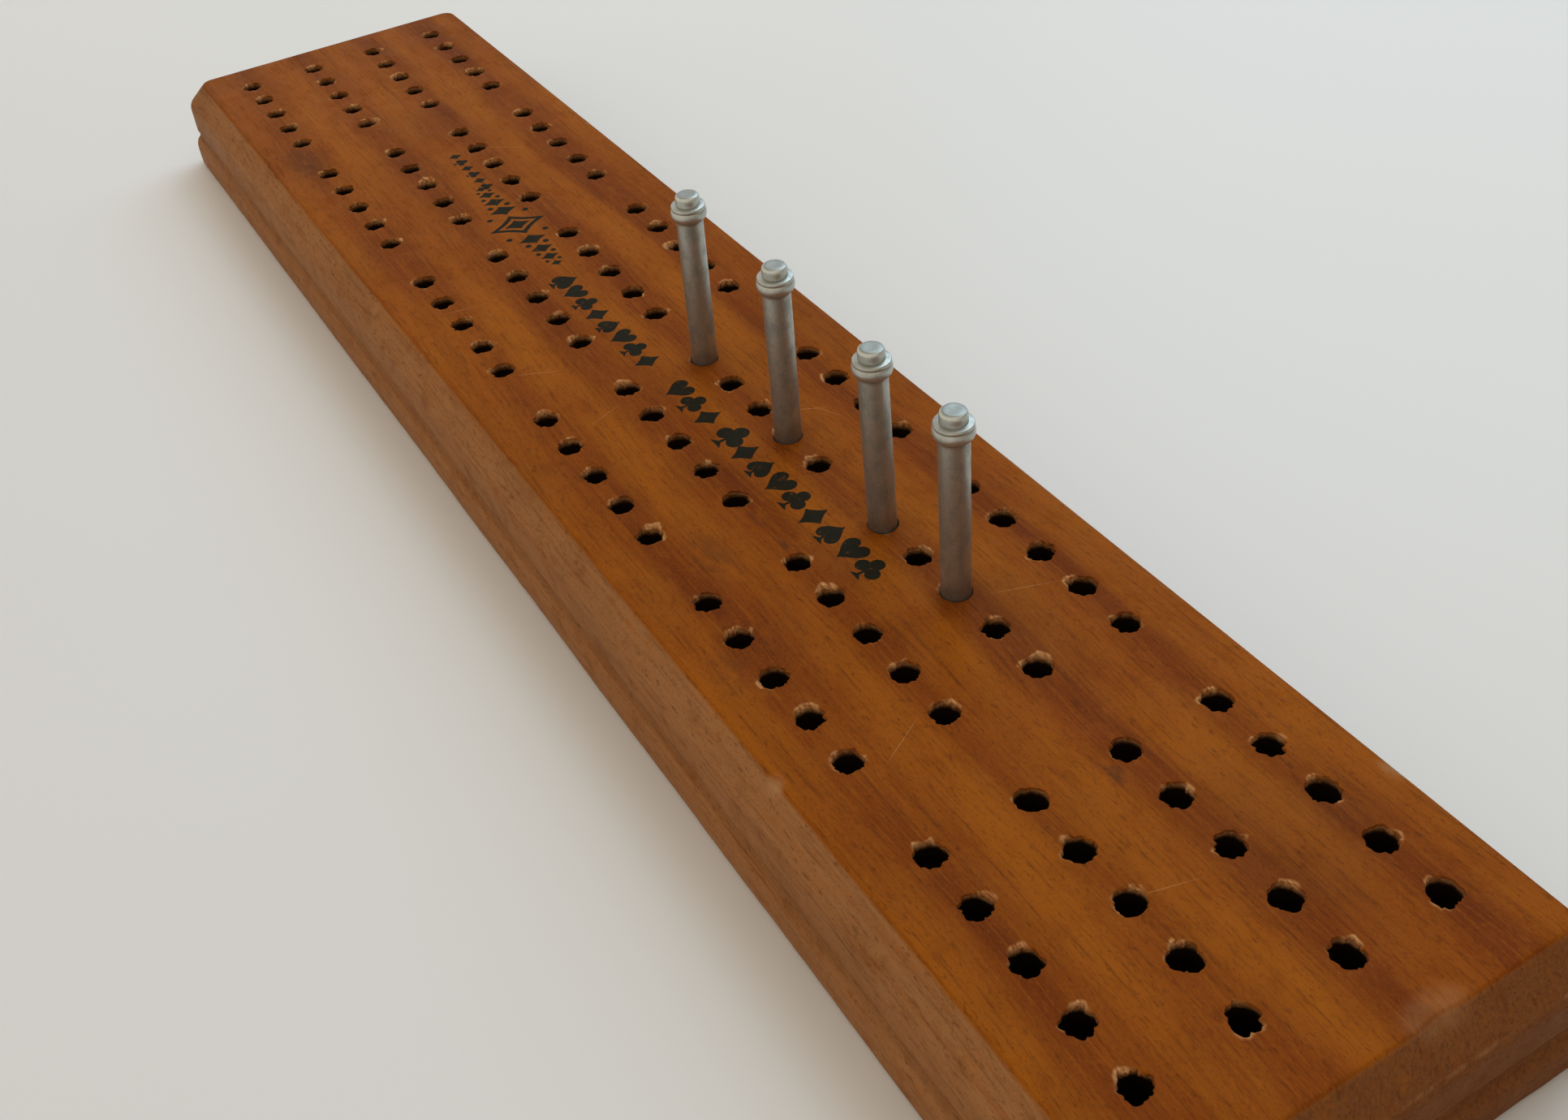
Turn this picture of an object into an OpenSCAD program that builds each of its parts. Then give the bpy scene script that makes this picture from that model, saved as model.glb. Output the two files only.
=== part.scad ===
// Cribbage board: a hardwood block with four rows of peg holes, four turned metal pegs,
// and a peg store in the underside behind a sliding sheet-metal cover.
// +X runs along the board, +Y across it and +Z up. The origin is at the bottom centre.

/* [Board] */
// Overall length of the block
board_l = 237; // [236:1:320]
// Overall width of the block, across its bottom lip
board_w = 49.8; // [48:0.2:70]
// Thickness of the block
board_t = 14; // [13.5:0.5:20]

/* [Edge moulding] */
// Width of the sloping bevel along the long sides, seen from above
side_bevel_run = 2.8; // [1:0.1:4]
// Width of the sloping bevel at the two ends, seen from above
end_bevel_run = 3.2; // [1:0.1:4]
// Height of the sloping bevel
bevel_drop = 3.3; // [1:0.1:4]
// How far the bottom lip stands out past the band above it
lip_out = 0.6; // [0.2:0.1:1.5]
// Height of the bottom lip, up to the middle of the groove
lip_h = 5.3; // [4:0.1:6]
// Radius of the cove groove cut above the lip
groove_r = 0.8; // [0.5:0.05:1.2]
// Depth of that groove below the face of the band
groove_depth = 0.45; // [0.1:0.05:0.5]
// Chamfer on the lip's bottom arris
lip_ease = 0.4; // [0.1:0.1:0.6]

/* [Peg holes] */
// Diameter of every peg hole
hole_d = 3.2; // [3.1:0.05:3.6]
// Depth of every peg hole
hole_depth = 7; // [5:0.25:7]
// Spacing of the holes within a group of five
hole_pitch = 6.35; // [5.5:0.05:6.6]
// Spacing from the start of one group to the start of the next
group_pitch = 37.8; // [34:0.1:38.5]
// Number of groups along the board
group_count = 6; // [5:1:6]
// Spacing between neighbouring rows
row_pitch = 10.16; // [8:0.02:11]
// Number of rows across the board
row_count = 4; // [2:2:4]

/* [Pegs] */
// Shaft diameter of a peg
peg_d = 3; // [2.4:0.05:3]
// Length of a peg, from its tip to its top
peg_l = 28.1; // [20:0.1:32]
// Diameter of the bead round the head
peg_bead_d = 4; // [3.4:0.1:4.2]
// Height of the head, from the foot of its bead to its top
peg_head_h = 3.1; // [2.8:0.1:4]
// Gap under a seated peg's tip
peg_floor_gap = 0.1; // [0.05:0.05:0.5]

/* [Peg store] */
// Length of the store's pocket
store_l = 60; // [40:1:70]
// Width of the store's pocket
store_w = 9; // [8:0.5:9]
// Middle of the pocket along the board
store_x = 20; // [0:1:25]
// Height of the pocket's roof above the table
store_roof = 5.9; // [5.6:0.1:6]
// Thickness of the sheet-metal cover
cover_t = 0.6; // [0.4:0.1:0.6]
// How far the cover slides to open
cover_travel = 46; // [30:1:50]

/* [Hidden] */
$fn = 96;
eps = 0.01;
overshoot = 2;

holes_per_group = 5;

// The four pegs stand in the row just past the middle
peg_row = row_count / 2 + 1;
// [group, hole] of each peg, both counted from 1 at the -X end
peg_places = [[4, 1], [4, 4], [5, 1], [5, 3]];

// Upper band of the block, above the groove
band_w = board_w - 2 * lip_out;
band_l = board_l - 2 * lip_out;
// How far the groove's centre line lies outside the band's face
groove_stand_off = groove_r - groove_depth;

// Sliding cover and the kerf it runs in
lip_under_cover = 0.8;   // wood left below the kerf, which holds the cover up
cover_play = 0.05;       // gap above and below the cover
kerf_h = cover_t + 2 * cover_play;
cover_overlap = 4;       // cover past the pocket at each end
cover_l = store_l + 2 * cover_overlap;
cover_w = store_w + 4;
kerf_side_play = 0.1;
kerf_end_play = 0.3;
mouth_w = store_w + 1;   // opening between the lips, narrower than the cover
store_corner_r = 1.5;    // corners of the pocket and of the mouth
grip_ribs = 4;
grip_rib_r = 0.4;
grip_rib_l = 6;
grip_rib_pitch = 1.6;
grip_inset = 8;          // first rib from the cover's +X end

// Position of a hole along the board, from its group and number, both counted from 1
function hole_x(group, number) =
    (group - (group_count + 1) / 2) * group_pitch
    + (number - (holes_per_group + 1) / 2) * hole_pitch;

// Position of a row across the board, counted from 1 at the -Y side
function row_y(row) = (row - (row_count + 1) / 2) * row_pitch;

// Section of the block across a pair of edges, with its height along +Y
module edge_section(full, bevel_run) {
    band = full / 2 - lip_out;
    half = [
        [full / 2 - lip_ease, 0],
        [full / 2, lip_ease],
        [full / 2, lip_h],
        [band, lip_h],
        [band, board_t - bevel_drop],
        [band - bevel_run, board_t]
    ];
    last = len(half) - 1;
    mirrored = [for (i = [last:-1:0]) [-half[i][0], half[i][1]]];
    polygon(concat(half, mirrored));
}

// The block's outside: the long sides' section and the ends' section, crossed
module block() {
    intersection() {
        rotate([90, 0, 90])
            linear_extrude(height = board_l, center = true) edge_section(board_w, side_bevel_run);
        rotate([90, 0, 0])
            linear_extrude(height = board_w, center = true) edge_section(board_l, end_bevel_run);
    }
}

// One round rod along each edge, which leaves the cove groove
module groove_rods() {
    for (side = [-1, 1]) {
        translate([0, side * (band_w / 2 + groove_stand_off), lip_h])
            rotate([0, 90, 0])
                cylinder(r = groove_r, h = board_l + overshoot, center = true);
        translate([side * (band_l / 2 + groove_stand_off), 0, lip_h])
            rotate([90, 0, 0])
                cylinder(r = groove_r, h = board_w + overshoot, center = true);
    }
}

module peg_holes() {
    for (row = [1:row_count], group = [1:group_count], number = [1:holes_per_group])
        translate([hole_x(group, number), row_y(row), board_t - hole_depth])
            cylinder(d = hole_d, h = hole_depth + overshoot);
}

// A bar along X with rounded corners, as a small router bit leaves them
module routed_bar(from_x, to_x, width, height) {
    r = store_corner_r;
    linear_extrude(height = height) {
        translate([from_x + r, -width / 2]) square([to_x - from_x - 2 * r, width]);
        translate([from_x, -width / 2 + r]) square([to_x - from_x, width - 2 * r]);
        for (x = [from_x + r, to_x - r], side = [-1, 1])
            translate([x, side * (width / 2 - r)]) circle(r = r);
    }
}

// Pocket for the pegs, the kerf for its cover, and the mouth below them
module store_cut() {
    pocket_from = store_x - store_l / 2;
    pocket_to = store_x + store_l / 2;
    kerf_top = lip_under_cover + kerf_h;
    translate([0, 0, kerf_top - eps])
        routed_bar(pocket_from, pocket_to, store_w, store_roof - kerf_top + eps);
    translate([pocket_from - cover_overlap - cover_travel - kerf_end_play,
               -cover_w / 2 - kerf_side_play, lip_under_cover])
        cube([cover_l + cover_travel + 2 * kerf_end_play, cover_w + 2 * kerf_side_play, kerf_h]);
    translate([0, 0, -overshoot])
        routed_bar(pocket_from - cover_travel, pocket_to, mouth_w, lip_under_cover + overshoot + eps);
}

module board() {
    color("sienna")
        difference() {
            block();
            groove_rods();
            peg_holes();
            store_cut();
        }
}

// Turned peg, standing on its tip at the origin
module peg() {
    shaft_r = peg_d / 2;
    tip_ease = 0.35;
    button_r = peg_d / 2 - 0.05;
    button_round = 0.45;
    button_h = 1.1;
    ring_r = peg_bead_d / 2 - 0.15;
    ring_round = 0.35;
    ring_top = peg_l - button_h;
    bead_foot = peg_l - peg_head_h;
    bead_round = (peg_head_h - button_h - 2 * ring_round + 0.1) / 2;
    rotate_extrude() {
        // shaft, with its tip eased
        polygon([[0, 0], [shaft_r - tip_ease, 0], [shaft_r, tip_ease],
                 [shaft_r, peg_l - button_h], [0, peg_l - button_h]]);
        // button on top, with a rounded edge
        square([button_r, peg_l - button_round]);
        square([button_r - button_round, peg_l]);
        intersection() {
            translate([button_r - button_round, peg_l - button_round]) circle(r = button_round);
            square([button_r, peg_l]);
        }
        // narrow ring under the button
        translate([0, ring_top - 2 * ring_round]) square([ring_r - ring_round, 2 * ring_round]);
        translate([ring_r - ring_round, ring_top - ring_round]) circle(r = ring_round);
        // round bead below the ring
        translate([0, bead_foot]) square([peg_bead_d / 2 - bead_round, 2 * bead_round]);
        translate([peg_bead_d / 2 - bead_round, bead_foot + bead_round]) circle(r = bead_round);
    }
}

module peg_in_hole(index) {
    place = peg_places[index - 1];
    color("silver")
        translate([hole_x(place[0], place[1]), row_y(peg_row), board_t - hole_depth + peg_floor_gap])
            peg();
}

// Sheet-metal cover with pressed grip ribs at its +X end
module store_cover() {
    cover_to = store_x + store_l / 2 + cover_overlap;
    cover_z = lip_under_cover + cover_play;
    color("lightgray")
        union() {
            translate([cover_to - cover_l, -cover_w / 2, cover_z]) cube([cover_l, cover_w, cover_t]);
            for (i = [0:grip_ribs - 1])
                translate([cover_to - grip_inset - i * grip_rib_pitch, 0, cover_z])
                    rotate([90, 0, 0])
                        cylinder(r = grip_rib_r, h = grip_rib_l, center = true);
        }
}

board();
peg_in_hole(1);  // peg_1
peg_in_hole(2);  // peg_2
peg_in_hole(3);  // peg_3
peg_in_hole(4);  // peg_4
store_cover();
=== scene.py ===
import math
import random

import bpy
import numpy as np
from mathutils import Matrix, Vector, noise
from mathutils.geometry import delaunay_2d_cdt


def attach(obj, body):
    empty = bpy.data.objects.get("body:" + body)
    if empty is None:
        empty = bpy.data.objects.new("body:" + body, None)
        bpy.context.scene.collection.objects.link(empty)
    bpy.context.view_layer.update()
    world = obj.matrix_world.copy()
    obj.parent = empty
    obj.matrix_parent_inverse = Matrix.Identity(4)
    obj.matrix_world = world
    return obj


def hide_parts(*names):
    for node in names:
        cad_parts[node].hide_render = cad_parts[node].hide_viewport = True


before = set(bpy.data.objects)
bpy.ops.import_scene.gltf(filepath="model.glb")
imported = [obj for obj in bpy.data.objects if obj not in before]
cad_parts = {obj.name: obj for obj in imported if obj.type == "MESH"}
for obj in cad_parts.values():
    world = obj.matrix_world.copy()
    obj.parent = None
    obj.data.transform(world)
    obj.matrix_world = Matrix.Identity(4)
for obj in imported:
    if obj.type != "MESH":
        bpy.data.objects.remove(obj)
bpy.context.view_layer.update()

# Sizes of the part are in millimetres. Meshes are scaled to metres as they are made.
MM = 0.001

BOARD_L = 237.0
BOARD_W = 49.8
BOARD_T = 14.0

HOLE_R = 1.6
# Height of a hole's floor above the table
HOLE_FLOOR = 7.0
HOLE_PITCH = 6.35
GROUP_PITCH = 37.8
ROW_PITCH = 10.16
GROUPS = 6
HOLES_PER_GROUP = 5
ROWS = 4
HOLE_STEPS = 40

PEG_R = 1.5
PEG_L = 28.1
PEG_TIP_Z = 7.1
PEG_ROW = 3
# (group, hole) of each peg, and how far its top is off to the side over its length, along X and Y
PEG_PLACES = ((4, 1), (4, 4), (5, 1), (5, 3))
PEG_LEANS = ((0.25, 0.35), (0.10, 0.20), (-0.10, -0.35), (0.0, 0.0))
PEG_STEPS = 96

STORE_ROOF = 5.9
KERF_FLOOR = 0.8
KERF_ROOF = 1.5
# Bars cut along the underside: (from x, to x, width)
POCKET = (-10.0, 50.0, 9.0)
MOUTH = (-56.0, 50.0, 10.0)
KERF = (-60.3, 54.3, 13.2)
STORE_CORNER_R = 1.5
KERF_CORNER_R = 0.3
# How far the mouth's lower arris is eased
MOUTH_EASE = 0.2

# The sliding cover: (from x, to x, width)
COVER = (-14.0, 54.0, 13.0)
COVER_BOTTOM = 0.85
COVER_TOP = 1.45
RIB_X = (46.0, 44.4, 42.8, 41.2)
RIB_HALF_L = 3.0
RIB_HALF_W = 0.34
RIB_H = 0.38
# Length over which a rib fades out at its ends
RIB_FADE = 0.5

# Points closer together than this are one point when a flat face is filled
SAME_POINT = 1e-5

random.seed(17)


# ---------------------------------------------------------------- meshes


class Shell:
    """The points and faces of one mesh.

    bare is how far the finish has gone at each point, from 0 to 1, and inked holds the printed faces."""

    def __init__(self):
        self.points = []
        self.bare = []
        self.faces = []
        self.inked = set()

    def add(self, points, bare=0.0):
        """Adds points, rounded to single precision as Blender keeps them. Returns their indices."""
        first = len(self.points)
        self.points += np.float32([tuple(p) for p in points]).astype(float).tolist()
        self.bare += list(bare) if np.ndim(bare) else [bare] * len(points)
        return list(range(first, len(self.points)))

    def bridge(self, a, b):
        """Quads between two closed loops of equal length."""
        after = a[1:] + a[:1]
        beyond = b[1:] + b[:1]
        self.faces += list(zip(a, after, beyond, b))

    def skin(self, loops):
        """Quads between each loop and the next."""
        for a, b in zip(loops, loops[1:]):
            self.bridge(a, b)

    def fan(self, loop, centre):
        """Triangles from a loop to one point."""
        after = loop[1:] + loop[:1]
        self.faces += [(i, j, centre) for i, j in zip(loop, after)]

    def fill(self, outline, holes, up, shapes=()):
        """Triangles in the plane between an outline and the holes in it. Each shape is a list of closed
        contours; the triangles in it are marked as inked."""
        loops = [outline, *holes]
        order = [i for loop in loops for i in loop]
        contours = [c for shape in shapes for c in shape]
        flat = [Vector(self.points[i][:2]) for i in order] + [Vector(p) for c in contours for p in c]
        edges = closed_edges([len(loop) for loop in loops + contours])
        made, _, triangles, source, _, _ = delaunay_2d_cdt(flat, edges, [], 0, SAME_POINT, True)
        z = self.points[outline[0]][2]
        index = []
        for at, origin in zip(made, source):
            known = [order[k] for k in origin if k < len(order)]
            index.append(known[0] if known else self.add([(at.x, at.y, z)])[0])
        middles = np.array([sum((made[k] for k in t), Vector((0, 0))) / 3 for t in triangles])
        keep = inside(middles, self.loop_xy(outline))
        for hole in holes:
            keep &= ~inside(middles, self.loop_xy(hole))
        ink = np.zeros(len(middles), bool)
        for shape in shapes:
            ink |= inside_shape(middles, shape)
        for t, kept, dark in zip(triangles, keep, ink):
            if kept:
                self.add_flat_face(made, index, t, up, dark)

    def add_flat_face(self, made, index, triangle, up, dark):
        """One triangle of a filled plane, turned to face up or down."""
        a, b, c = (made[k] for k in triangle)
        turns_left = (b - a).cross(c - a) > 0
        if dark:
            self.inked.add(len(self.faces))
        self.faces.append([index[k] for k in (triangle if turns_left == up else triangle[::-1])])

    def loop_xy(self, loop):
        return np.array([self.points[i][:2] for i in loop])

    def build(self, name, material, sharp=35):
        """Makes the object. Edges that turn by more than sharp degrees are shaded as sharp."""
        mesh = bpy.data.meshes.new(name)
        mesh.from_pydata([[MM * c for c in p] for p in self.points], [], self.faces)
        bare = mesh.attributes.new("bare", "FLOAT", "POINT")
        bare.data.foreach_set("value", self.bare)
        ink = mesh.attributes.new("ink", "FLOAT", "FACE")
        ink.data.foreach_set("value", [float(i in self.inked) for i in range(len(self.faces))])
        mesh.shade_smooth()
        mesh.set_sharp_from_angle(angle=math.radians(sharp))
        mesh.materials.append(material)
        mesh.validate()
        shown = bpy.data.objects.new(name, mesh)
        bpy.context.scene.collection.objects.link(shown)
        return shown


def closed_edges(sizes):
    """Edges that close loops of the given sizes, whose points are numbered one loop after another."""
    edges = []
    start = 0
    for size in sizes:
        edges += [(start + k, start + (k + 1) % size) for k in range(size)]
        start += size
    return edges


def inside(points, loop):
    """Which 2-D points lie within a closed loop."""
    x, y = points[:, :1], points[:, 1:]
    ax, ay = loop[:, 0], loop[:, 1]
    bx, by = np.roll(ax, -1), np.roll(ay, -1)
    crosses = (ay > y) != (by > y)
    rise = np.where(by == ay, 1.0, by - ay)
    at = ax + (y - ay) / rise * (bx - ax)
    return (crosses & (x < at)).sum(1) % 2 == 1


def inside_shape(points, shape):
    """Which 2-D points lie within an odd number of a shape's contours."""
    odd = np.zeros(len(points), bool)
    for contour in shape:
        odd ^= inside(points, np.array(contour))
    return odd


def hole_x(group, number):
    """Place of a hole along the board, from its group and number, both counted from 1 at the -X end."""
    group_x = (group - (GROUPS + 1) / 2) * GROUP_PITCH
    return group_x + (number - (HOLES_PER_GROUP + 1) / 2) * HOLE_PITCH


def row_y(row):
    """Place of a row across the board, counted from 1 at the -Y side."""
    return (row - (ROWS + 1) / 2) * ROW_PITCH


# ---------------------------------------------------------------- board

LIP_OUT = 0.6
BEVEL_FOOT = 10.7
# How much wider the bevel is at the ends than along the sides
END_STRETCH = 3.2 / 2.8
# Height of the arris between the groove and the band, and the heights the groove's shade fades over
BAND_FOOT = 6.40
GROOVE_FOOT_FADE = (4.35, 4.95)
GROOVE_HEAD_FADE = (6.35, 5.85)
CORNER_STEPS = 6
SIDE_STEPS = 300
END_STEPS = 64

# The edge from the underside to the flat top:
# (distance in from the lip's face, height, corner radius, wear)
EDGE = (
    (1.60, 0.00, 2.4, 0.00),
    (0.45, 0.00, 2.4, 0.05),
    (0.26, 0.05, 2.4, 0.08),
    (0.10, 0.17, 2.4, 0.10),
    (0.03, 0.36, 2.4, 0.08),
    (0.00, 0.70, 2.4, 0.04),
    (0.00, 1.60, 2.4, 0.03),
    (0.00, 2.60, 2.4, 0.03),
    (0.01, 3.30, 2.4, 0.04),
    (0.04, 3.70, 2.4, 0.07),
    (0.11, 4.02, 2.4, 0.10),
    (0.22, 4.28, 2.2, 0.10),
    (0.38, 4.50, 2.2, 0.06),
    (0.56, 4.70, 2.2, 0.03),
    (0.72, 4.94, 2.2, 0.02),
    (0.81, 5.22, 2.2, 0.02),
    (0.84, 5.50, 2.2, 0.02),
    (0.81, 5.78, 2.2, 0.02),
    (0.73, 6.02, 2.2, 0.03),
    (0.65, 6.20, 2.2, 0.06),
    (0.60, 6.44, 2.8, 0.06),
    (0.60, 7.20, 2.8, 0.03),
    (0.60, 8.40, 2.8, 0.03),
    (0.60, 9.40, 2.8, 0.04),
    (0.62, 9.95, 2.8, 0.06),
    (0.68, 10.36, 2.8, 0.08),
    (0.80, 10.72, 2.8, 0.08),
    (0.97, 11.04, 2.7, 0.06),
    (1.20, 11.36, 2.6, 0.04),
    (1.70, 11.97, 2.4, 0.03),
    (2.30, 12.70, 2.1, 0.03),
    (2.85, 13.37, 1.8, 0.02),
    (3.20, 13.79, 1.7, 0.03),
    (3.30, 13.91, 1.6, 0.04),
    (3.40, 13.98, 1.6, 0.04),
    (3.54, 14.00, 1.6, 0.03),
    (4.10, 14.00, 1.6, 0.00),
)

# Knocks along the arrises: (x, y, z, radius, depth)
NICKS = (
    (67.9, -21.6, 13.9, 1.1, 0.55),
    (114.8, 6.6, 13.9, 2.2, 0.22),
    (-96.0, -21.6, 13.9, 1.0, 0.22),
    (-31.0, -24.3, 10.9, 1.4, 0.25),
    (12.0, -21.4, 13.9, 0.9, 0.25),
    (41.0, -24.3, 10.8, 1.2, 0.22),
    (88.0, -24.2, 10.6, 1.6, 0.25),
    (96.0, 21.4, 13.9, 1.2, 0.30),
    (-60.0, 21.5, 13.9, 1.0, 0.25),
    (118.3, -16.0, 4.2, 1.4, 0.30),
    (-118.3, -19.0, 4.2, 1.6, 0.30),
    (-40.0, -24.9, 4.2, 1.2, 0.25),
    (20.0, 24.9, 0.2, 1.6, 0.30),
)

# Holes whose rims have lost a larger piece: (group, number, row, direction in degrees, size)
TORN_RIMS = (
    (2, 3, 2, 165, 0.95),
    (3, 3, 4, 230, 0.70),
    (4, 5, 1, 140, 0.75),
    (3, 5, 2, 200, 0.45),
    (4, 1, 2, 175, 0.50),
    (5, 2, 2, 160, 0.40),
    (1, 4, 4, 190, 0.45),
)
# Their spread round the rim, in radians
TORN_SPREAD = 0.55
# How far out from a hole its rim is modelled, and how far if it has a chip larger than LARGE_CHIP
RIM_REACH = 0.85
RIM_REACH_CHIPPED = 1.45
LARGE_CHIP = 0.6

# Mean depth of the wear that is the same all over the block
HANDLING = 0.015


def worn(x, y, z, wear):
    """How far the surface has gone in at a point, from handling and from knocks."""
    # Slow and quick changes of the wear along the edge
    slow = noise.noise(Vector((x * 0.05, y * 0.05, z * 0.4)))
    quick = noise.noise(Vector((x * 0.6, y * 0.6, z * 0.9)))
    depth = HANDLING + HANDLING * slow + wear * max(0.0, 0.6 + 0.9 * slow + 0.5 * quick)
    for nx, ny, nz, radius, deep in NICKS:
        share = ((x - nx) ** 2 + (y - ny) ** 2 + (z - nz) ** 2) / radius**2
        if share < 1:
            depth += deep * (1 - share) ** 2
    return depth


def outline(inset, z, corner_r, wear):
    """One closed loop round the board, anticlockwise from above."""
    past_band = max(0.0, inset - LIP_OUT) if z > BEVEL_FOOT - 1 else 0.0
    half_x = BOARD_L / 2 - inset - past_band * (END_STRETCH - 1)
    half_y = BOARD_W / 2 - inset
    arcs = []
    for k, (sx, sy) in enumerate(((1, -1), (1, 1), (-1, 1), (-1, -1))):
        turns = [math.radians(90) * (k - 1 + i / CORNER_STEPS) for i in range(CORNER_STEPS + 1)]
        centre = Vector((sx * (half_x - corner_r), sy * (half_y - corner_r)))
        arcs.append([(centre + corner_r * Vector((math.cos(a), math.sin(a))), a) for a in turns])
    points = []
    for k, arc in enumerate(arcs):
        steps = END_STEPS if k % 2 == 0 else SIDE_STEPS
        end, angle = arc[-1]
        start = arcs[(k + 1) % 4][0][0]
        straight = [(end.lerp(start, i / steps), angle) for i in range(1, steps)]
        for at, facing in arc + straight:
            depth = worn(at.x, at.y, z, wear)
            moved = at - depth * Vector((math.cos(facing), math.sin(facing)))
            points.append((moved.x, moved.y, z))
    return points


def rounded_loop(bar, z):
    """A rectangle with rounded corners, anticlockwise from above."""
    x0, x1, width = bar
    r = KERF_CORNER_R if bar is KERF else STORE_CORNER_R
    points = []
    for k, (x, sy) in enumerate(((x1, -1), (x1, 1), (x0, 1), (x0, -1))):
        inward = -1 if x == x1 else 1
        centre = (x + inward * r, sy * (width / 2 - r))
        for i in range(CORNER_STEPS + 1):
            a = math.radians(90) * (k - 1 + i / CORNER_STEPS)
            points.append((centre[0] + r * math.cos(a), centre[1] + r * math.sin(a), z))
    return points


def rim_chips(group, number, row):
    """How far the rim of a hole is chipped away in each direction."""
    # Larger chips, mostly on the -X side: (direction, spread, size)
    lumps = []
    for _ in range(random.choice((1, 2, 2, 3))):
        towards = math.radians(random.gauss(180, 75))
        lumps.append((towards, random.uniform(0.25, 0.6), random.uniform(0.10, 0.34)))
    seed = random.uniform(0, 100)
    for g, n, r, degrees, size in TORN_RIMS:
        if (g, n, r) == (group, number, row):
            lumps.append((math.radians(degrees), TORN_SPREAD, size))
    chips = []
    for i in range(HOLE_STEPS):
        a = 2 * math.pi * i / HOLE_STEPS
        ragged = noise.noise(Vector((2.2 * math.cos(a), 2.2 * math.sin(a), seed)))
        fine = noise.noise(Vector((6 * math.cos(a), 6 * math.sin(a), seed)))
        depth = 0.01 + 0.09 * max(0, ragged) + 0.04 * fine
        for towards, spread, size in lumps:
            off = math.remainder(a - towards, 2 * math.pi)
            depth += size * math.exp(-((off / spread) ** 2)) * (1 + 0.5 * fine)
        chips.append(max(0.01, depth))
    return chips


def torn_fibres(across, has_peg):
    """How far fibres stick out into a hole in each direction, and the radius of its swollen mouth."""
    seed = random.uniform(0, 100)
    fuzz = np.array([max(0.0, noise.noise(Vector((9 * c, 9 * d, seed)))) for c, d in across])
    swell = np.array([noise.noise(Vector((2.5 * c, 2.5 * d, seed + 5))) for c, d in across])
    if has_peg:
        return np.minimum(0.4 * fuzz, 0.02), HOLE_R
    return np.minimum(0.4 * fuzz, 0.3), HOLE_R - np.clip(0.16 + 0.35 * swell, 0.02, 0.32)


def peg_hole(board, group, number, row):
    """A drilled hole from the flat top down to its floor. Returns the loop that the top face meets."""
    x, y = hole_x(group, number), row_y(row)
    chips = np.array(rim_chips(group, number, row))
    reach = HOLE_R + (RIM_REACH_CHIPPED if chips.max() > LARGE_CHIP else RIM_REACH)
    angles = 2 * np.pi * np.arange(HOLE_STEPS) / HOLE_STEPS
    across = np.c_[np.cos(angles), np.sin(angles)]
    fuzz, rim = torn_fibres(across, (group, number) in PEG_PLACES and row == PEG_ROW)
    # How much bare wood a chip shows
    shown = np.clip(chips * 3.4 - 0.1, 0, 1)

    def loop(radius, z, bare):
        radius, z, bare = (np.broadcast_to(v, HOLE_STEPS) for v in (radius, z, bare))
        at = np.c_[x + radius * across[:, 0], y + radius * across[:, 1], z]
        return board.add(at.tolist(), bare.tolist())

    # From the flat top, over the broken rim, down the wall and across the floor
    loops = [
        loop(reach, BOARD_T, 0.0),
        loop(np.minimum(rim + chips + 0.24, reach - 0.05), BOARD_T, 0.0),
        loop(rim + chips + 0.02, BOARD_T - 0.005, 0.10 + 0.5 * shown),
        loop(rim + 0.6 * chips - 0.3 * fuzz, BOARD_T - 0.05, 0.15 + 0.85 * shown),
        loop(rim + 0.3 * chips - fuzz, BOARD_T - 0.14 - 0.25 * chips, 0.2 + 0.8 * shown),
        loop(rim - 0.8 * fuzz, BOARD_T - 0.34 - 0.80 * chips, 0.6 + 0.4 * shown),
        loop((rim + HOLE_R) / 2 - 0.2 * fuzz, BOARD_T - 0.75 - 1.5 * chips, 0.8),
        loop(HOLE_R, 11.0, 0.8),
        loop(HOLE_R, HOLE_FLOOR + 0.3, 0.8),
        loop(HOLE_R - 0.1, HOLE_FLOOR + 0.05, 0.8),
        loop(HOLE_R / 2, HOLE_FLOOR, 0.8),
    ]
    board.skin(loops)
    board.fan(loops[-1], board.add([(x, y, HOLE_FLOOR)], 0.7)[0])
    return loops[0]


def peg_store(board, underside):
    """The mouth, the kerf for the cover and the pocket, all cut from below."""

    def mouth_grown(by):
        return (MOUTH[0] - by, MOUTH[1] + by, MOUTH[2] + 2 * by)

    mouth_rim = board.add(rounded_loop(mouth_grown(3 * MOUTH_EASE), 0.0), 0.0)
    mouth_low = board.add(rounded_loop(mouth_grown(MOUTH_EASE), 0.0), 0.4)
    mouth = board.add(rounded_loop(MOUTH, MOUTH_EASE), 0.8)
    mouth_top = board.add(rounded_loop(MOUTH, KERF_FLOOR), 1.0)
    kerf_low = board.add(rounded_loop(KERF, KERF_FLOOR), 1.0)
    kerf_top = board.add(rounded_loop(KERF, KERF_ROOF), 1.0)
    pocket_low = board.add(rounded_loop(POCKET, KERF_ROOF), 1.0)
    pocket_top = board.add(rounded_loop(POCKET, STORE_ROOF), 1.0)
    board.fill(underside, [mouth_rim], up=False)
    board.skin([mouth_top, mouth, mouth_low, mouth_rim])
    board.fill(kerf_low, [mouth_top], up=True)
    board.bridge(kerf_top, kerf_low)
    board.fill(kerf_top, [pocket_low], up=False)
    board.bridge(pocket_top, pocket_low)
    board.fill(pocket_top, [], up=False)


def make_board(material, shapes):
    board = Shell()
    edge = [board.add(outline(*level)) for level in EDGE]
    board.skin(edge)
    holes = [
        peg_hole(board, group, number, row)
        for row in range(1, ROWS + 1)
        for group in range(1, GROUPS + 1)
        for number in range(1, HOLES_PER_GROUP + 1)
    ]
    board.fill(edge[-1], holes, up=True, shapes=shapes)
    peg_store(board, edge[0])
    return board.build("board_wood", material)


# ---------------------------------------------------------------- printed ornament

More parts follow.
